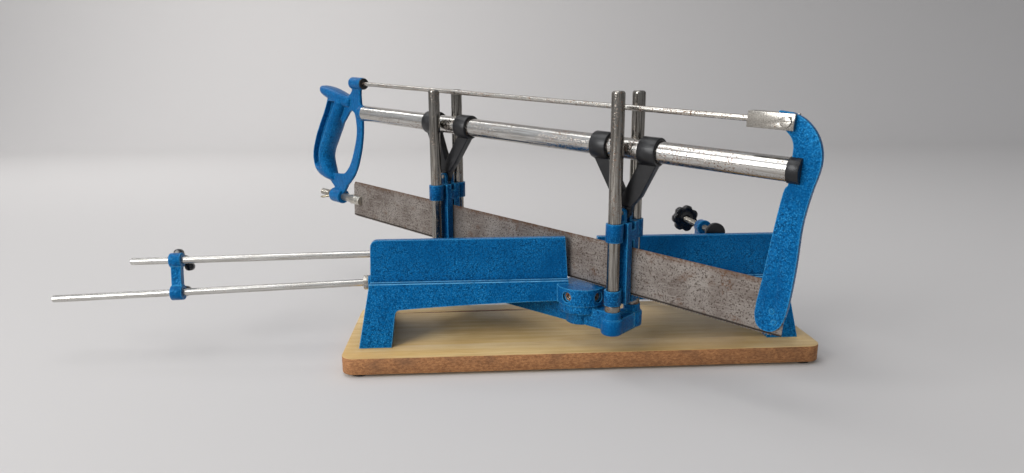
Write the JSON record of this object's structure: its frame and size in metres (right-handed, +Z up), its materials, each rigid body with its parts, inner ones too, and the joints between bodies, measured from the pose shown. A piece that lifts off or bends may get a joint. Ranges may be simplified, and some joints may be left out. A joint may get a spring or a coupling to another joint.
{
  "type": "precision mitre saw",
  "caption": "Hand mitre saw: framed blade sliding on a tube in guides over a swinging arm, with fenced work table, work clamp and length stop on a wooden board.",
  "frame": {"origin": "on the pivot axis of the swing arm, in the plane that the four feet stand on", "axes": "+X along the fence towards the work clamp, +Y from the fence's back across the work table to the operator, +Z up"},
  "size_m": [0.7499, 0.4698, 0.2756],
  "materials": {
    "laminate": "glossy beech-look laminate over chipboard",
    "foot_rubber": "matt",
    "blue_enamel": "hammered blue enamel, glossy",
    "bright_steel": "ground steel with light rust",
    "chrome": "bright plating, worn",
    "rusty_steel": "rusty",
    "blade_steel": "grey-brown patina with rust specks",
    "black_plastic": "fine satin"
  },
  "bodies": {
    "base": {"baseboard": "laminate", "board_feet": "foot_rubber", "base_casting": "blue_enamel", "casting_screws": "bright_steel", "pivot_pin": "bright_steel", "pivot_washer": "chrome", "hub_set_screws": "rusty_steel", "fixed_stop_rod": "chrome", "stop_rod_nut": "bright_steel"},
    "swing_arm": {"swing_arm": "blue_enamel", "rear_posts": "chrome", "front_posts": "chrome", "post_set_screws": "rusty_steel", "stop_washers": "rusty_steel"},
    "lock_pad": {"lock_pad": "bright_steel"},
    "lock_screw": {"lock_screw": "chrome", "lock_knob": "black_plastic"},
    "rear_carriage": {"rear_carriage": "blue_enamel", "rear_guide_pin": "chrome"},
    "front_carriage": {"front_carriage": "blue_enamel", "front_guide_pin": "chrome"},
    "tube_guides": {"rear_guide": "black_plastic", "front_guide": "black_plastic"},
    "saw_frame": {"frame_tube": "chrome", "tube_plug": "black_plastic", "handle_casting": "blue_enamel", "horn_plate": "blue_enamel", "tension_rod": "chrome", "rod_grommet": "black_plastic", "rod_end_nut": "bright_steel", "tension_block": "bright_steel", "block_screw": "chrome", "blade": "blade_steel", "blade_pins": "rusty_steel", "blade_stud": "bright_steel", "stud_pin": "bright_steel"},
    "wing_nut": {"wing_nut": "bright_steel"},
    "clamp_bracket": {"clamp_bracket": "blue_enamel", "clamp_stud": "bright_steel"},
    "clamp_wing_nut": {"clamp_wing_nut": "bright_steel"},
    "clamp_pad": {"clamp_pad": "black_plastic"},
    "clamp_screw": {"clamp_screw": "chrome", "clamp_knob": "black_plastic"},
    "stop_link": {"stop_link": "blue_enamel"},
    "stop_rod": {"stop_rod": "chrome"},
    "lower_thumb_screw": {"lower_thumb_screw": "black_plastic"},
    "upper_thumb_screw": {"upper_thumb_screw": "black_plastic"}
  },
  "joints": [
    {"name": "arm_swing", "type": "hinge", "parent": "base", "child": "swing_arm", "pos_m": [0, 0, 0.019], "axis": [0, 0, 1], "range_deg": [-90, 0]},
    {"name": "lock_press", "type": "slide", "parent": "swing_arm", "child": "lock_pad", "axis": [0.7071, -0.7071, 0], "range_m": [-0.0015, 0.00025]},
    {"name": "lock_turn", "type": "hinge", "parent": "lock_pad", "child": "lock_screw", "pos_m": [-0.14142, 0.14142, 0.0549], "axis": [0.7071, -0.7071, 0], "range_deg": [-433, 73]},
    {"name": "rear_lift", "type": "slide", "parent": "swing_arm", "child": "rear_carriage", "axis": [0, 0, 1], "range_m": [0, 0.09]},
    {"name": "saw_tilt", "type": "hinge", "parent": "rear_carriage", "child": "tube_guides", "pos_m": [0.03309, -0.03309, 0.153], "axis": [0.7071, 0.7071, 0], "range_deg": [-3.1, 3]},
    {"name": "front_lift", "type": "slide", "parent": "rear_carriage", "child": "front_carriage", "axis": [0, 0, 1], "range_m": [-0.0128, 0.0124]},
    {"name": "saw_stroke", "type": "slide", "parent": "tube_guides", "child": "saw_frame", "axis": [-0.7061, 0.7061, 0.0541], "range_m": [-0.11, 0.095]},
    {"name": "blade_tension", "type": "hinge", "parent": "saw_frame", "child": "wing_nut", "pos_m": [-0.2896, 0.2896, 0.12241], "axis": [-0.7061, 0.7061, 0.0541], "range_deg": [-360, 360]},
    {"name": "clamp_swivel", "type": "hinge", "parent": "base", "child": "clamp_bracket", "pos_m": [0.133, 0.05, 0.0796], "axis": [0, 0, 1], "range_deg": [-90, 90]},
    {"name": "clamp_foot_nut", "type": "hinge", "parent": "clamp_bracket", "child": "clamp_wing_nut", "pos_m": [0.133, 0.05, 0.073], "axis": [0, 0, 1], "range_deg": [-360, 0]},
    {"name": "clamp_press", "type": "slide", "parent": "clamp_bracket", "child": "clamp_pad", "axis": [0.0941, -0.9956, 0], "range_m": [-0.0175, 0.0014]},
    {"name": "clamp_turn", "type": "hinge", "parent": "clamp_pad", "child": "clamp_screw", "pos_m": [0.133, 0.05, 0.121], "axis": [0.0941, -0.9956, 0], "range_deg": [-6301, 505]},
    {"name": "link_slide", "type": "slide", "parent": "base", "child": "stop_link", "axis": [0.9995, 0, 0.0332], "range_m": [-0.11, 0.06]},
    {"name": "stop_rod_slide", "type": "slide", "parent": "stop_link", "child": "stop_rod", "axis": [0.9999, -0.0043, 0.0145], "range_m": [-0.25, 0.06]},
    {"name": "lower_screw_turn", "type": "hinge", "parent": "stop_link", "child": "lower_thumb_screw", "pos_m": [-0.39866, 0.04962, 0.06238], "axis": [0.0075, 0.9744, -0.2248], "range_deg": [-30, 360]},
    {"name": "upper_screw_turn", "type": "hinge", "parent": "stop_link", "child": "upper_thumb_screw", "pos_m": [-0.3997, 0.05681, 0.09354], "axis": [0.0075, 0.9744, -0.2248], "range_deg": [-30, 360]}
  ],
  "couplings": [
    {"joint": "lock_turn", "follows": "lock_press", "rad_per_m": 5026.5},
    {"joint": "front_lift", "follows": "saw_tilt", "m_per_rad": 0.2342},
    {"joint": "clamp_turn", "follows": "clamp_press", "rad_per_m": 6283.2}
  ]
}
